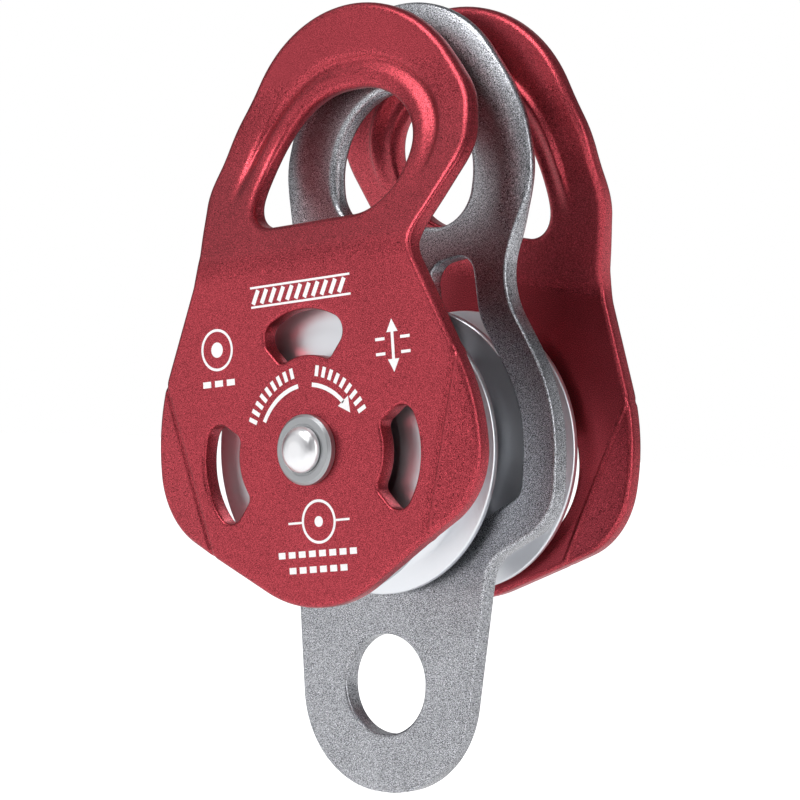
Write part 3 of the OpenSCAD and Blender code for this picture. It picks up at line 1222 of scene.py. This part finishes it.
def place_camera(settings):
    """Sets the camera that the scene is seen through."""
    camera = bpy.data.cameras.new("Camera")
    camera.lens = settings.lens
    camera.sensor_width = 36
    camera.shift_x, camera.shift_y = settings.shift_x, settings.shift_y
    camera.clip_start, camera.clip_end = 0.05, 20
    azimuth, roll = settings.camera_azimuth, settings.camera_roll
    back = outwards(azimuth, settings.camera_elevation)
    right = Vector((math.cos(azimuth), math.sin(azimuth), 0))
    up = back.cross(right)
    turned_right = right * math.cos(roll) - up * math.sin(roll)
    turned_up = right * math.sin(roll) + up * math.cos(roll)
    view = bpy.data.objects.new("Camera", camera)
    view.rotation_mode = "QUATERNION"
    axes = Matrix((turned_right, turned_up, back)).transposed()
    view.rotation_quaternion = axes.to_quaternion()
    view.location = AXLE + back * settings.camera_distance
    bpy.context.scene.collection.objects.link(view)
    bpy.context.scene.camera = view


def light_surroundings():
    """White to the camera, while the pulley is lit by a grey room that is brighter low down."""
    world = bpy.data.worlds.new("Studio")
    world.use_nodes = True
    bpy.context.scene.world = world
    n = Nodes(world.node_tree)
    n.tree.nodes.clear()
    direction = n.add("ShaderNodeTexCoord").outputs["Generated"]
    parts = n.add("ShaderNodeSeparateXYZ")
    n.join(direction, parts.inputs[0])
    ramp = n.add("ShaderNodeValToRGB")
    n.join(n.math("MULTIPLY", n.math("ADD", parts.outputs["Z"], 1), 0.5), ramp.inputs[0])
    points = ramp.color_ramp.elements
    points[0].position, points[0].color = 0.30, (0.45, 0.45, 0.46, 1)
    points[1].position, points[1].color = 0.85, (0.16, 0.16, 0.17, 1)
    middle = points.new(0.52)
    middle.color = (0.17, 0.17, 0.18, 1)
    seen = n.add("ShaderNodeLightPath").outputs["Is Camera Ray"]
    shown = n.add("ShaderNodeMix", data_type="RGBA")
    n.join(seen, shown.inputs["Factor"])
    n.join(ramp.outputs["Color"], shown.inputs[MIX_A])
    shown.inputs[MIX_B].default_value = (1, 1, 1, 1)
    background = n.add("ShaderNodeBackground")
    n.join(shown.outputs[MIX_RESULT], background.inputs["Color"])
    n.join(background.outputs[0], n.add("ShaderNodeOutputWorld").inputs["Surface"])


def lay_floor(settings):
    """A plain pale floor below the becket."""
    bm = bmesh.new()
    level = CAD_BOX[0].z - settings.floor_gap
    bmesh.ops.create_grid(
        bm, x_segments=1, y_segments=1, size=4, matrix=Matrix.Translation((0, 0, level))
    )
    mesh = bpy.data.meshes.new("floor")
    bm.to_mesh(mesh)
    bm.free()
    floor = bpy.data.objects.new("floor", mesh)
    bpy.context.scene.collection.objects.link(floor)
    pale = Finish("Pale floor", (0.9, 0.9, 0.9), 0, 0.9)
    pale.shader.inputs["Emission Color"].default_value = (1, 1, 1, 1)
    seen = pale.nodes.add("ShaderNodeLightPath").outputs["Is Camera Ray"]
    glow = pale.nodes.math("ADD", pale.nodes.math("MULTIPLY", seen, 0.6), 0.5)
    pale.nodes.join(glow, pale.shader.inputs["Emission Strength"])
    mesh.materials.append(pale.material)


class PULLEY_OT_stage(PieceOperator, Operator):
    """Set the camera, the floor and the soft lights"""

    bl_idname = "pulley.stage"
    bl_label = "Stage"

    def build(self, looks):
        settings = looks.stage
        bpy.context.scene.view_settings.view_transform = "Standard"
        place_camera(settings)
        light_surroundings()
        lay_floor(settings)
        soft_box("Front light", -42, 6, 0.9, (0.55, 0.7), settings.front_power)
        soft_box("Side light", 74, 12, 0.9, (0.32, 0.9), settings.side_power)
        soft_box("Top light", -5, 50, 0.9, (0.5, 0.5), settings.top_power)
        soft_box("Sky light", -62, 46, 0.9, (0.6, 0.5), settings.sky_power)
        soft_box("Back left light", 215, 25, 1.1, (0.7, 0.7), settings.back_power)
        soft_box("Back right light", 150, 10, 1.1, (0.6, 0.6), settings.back_power)


class PULLEY_PT_looks(Panel):
    """Lists the operators that build the pulley"""

    bl_idname = "PULLEY_PT_looks"
    bl_label = "Double rope pulley"
    bl_space_type = "VIEW_3D"
    bl_region_type = "UI"
    bl_category = "Pulley"

    def draw(self, context):
        for step in BUILD_ORDER:
            self.layout.operator(step)
        looks = context.scene.pulley_looks
        for group in (looks.plates, looks.turned, looks.finishes, looks.stage):
            box = self.layout.box()
            for name in group.bl_rna.properties.keys():
                if name not in {"rna_type", "name"}:
                    box.prop(group, name)


BUILD_ORDER = (
    "pulley.finishes",
    "pulley.centre_plate",
    "pulley.side_plates",
    "pulley.sheaves",
    "pulley.bearings",
    "pulley.axle",
    "pulley.marks",
    "pulley.stage",
)

CLASSES = (
    PlateSettings,
    TurnedSettings,
    FinishSettings,
    StageSettings,
    PulleyLooks,
    PULLEY_OT_finishes,
    PULLEY_OT_centre_plate,
    PULLEY_OT_side_plates,
    PULLEY_OT_sheaves,
    PULLEY_OT_bearings,
    PULLEY_OT_axle,
    PULLEY_OT_marks,
    PULLEY_OT_stage,
    PULLEY_PT_looks,
)


def register():
    """Registers the classes and the scene's settings."""
    for item in CLASSES:
        bpy.utils.register_class(item)
    bpy.types.Scene.pulley_looks = PointerProperty(type=PulleyLooks)


def unregister():
    """Removes what register added."""
    del bpy.types.Scene.pulley_looks
    for item in reversed(CLASSES):
        bpy.utils.unregister_class(item)


def main():
    """Registers the classes and runs every build step in order."""
    register()
    for step in BUILD_ORDER:
        group, name = step.split(".")
        getattr(getattr(bpy.ops, group), name)()


if __name__ == "__main__":
    main()
